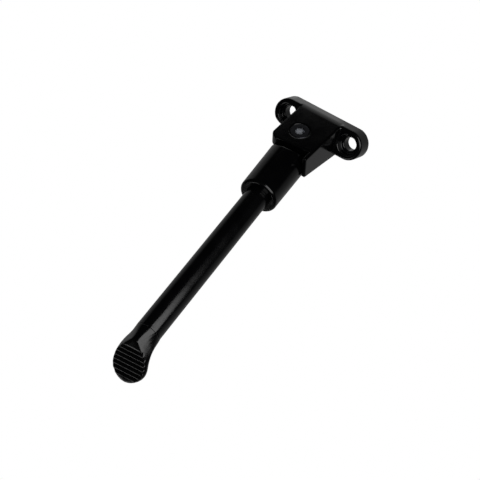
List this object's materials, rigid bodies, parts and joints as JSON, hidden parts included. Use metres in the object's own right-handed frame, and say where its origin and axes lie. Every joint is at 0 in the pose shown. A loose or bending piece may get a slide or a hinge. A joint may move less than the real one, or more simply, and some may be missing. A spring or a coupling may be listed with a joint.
{
  "type": "kickstand",
  "caption": "Folding side stand with a rounded mounting flange, a leaning clevis block, a round collar and a rod leg ending in a flattened ribbed sole.",
  "frame": {"origin": "centre of the flat mounting face, half way between the two fixing holes", "axes": "+Z is the outward normal of the mounting face, +X runs along the line of the two holes, +Y is the side towards which the deployed leg leans"},
  "size_m": [0.0598, 0.115, 0.1734],
  "materials": {
    "black_cast": "gloss black coat on cast aluminium",
    "black_steel": "gloss black coat on a forged rod",
    "bare_steel": "machined",
    "zinc_steel": "bright zinc",
    "bronze": "machined bronze",
    "nylon": "natural"
  },
  "bodies": {
    "bracket": {"bracket": "black_cast", "pivot_screw": "bare_steel", "lock_nut": "zinc_steel", "cam_sleeve": "bronze", "front_washer": "nylon", "rear_washer": "nylon"},
    "leg": {"leg_head": "black_cast", "leg_rod": "black_steel", "rod_pin": "zinc_steel", "detent_spring": "zinc_steel"},
    "plunger": {"plunger": "bare_steel"}
  },
  "joints": [
    {"name": "leg_fold", "type": "hinge", "parent": "bracket", "child": "leg", "pos_m": [-0.0029, 0.01032, -0.01999], "axis": [0, 0.8886, 0.4587], "range_deg": [0, 86]},
    {"name": "plunger_slide", "type": "slide", "parent": "leg", "child": "plunger", "axis": [-0.1184, -0.4554, 0.8824], "range_m": [0, 0.0008], "stiffness_N_per_m": 2000, "springref_m": 0.004}
  ]
}
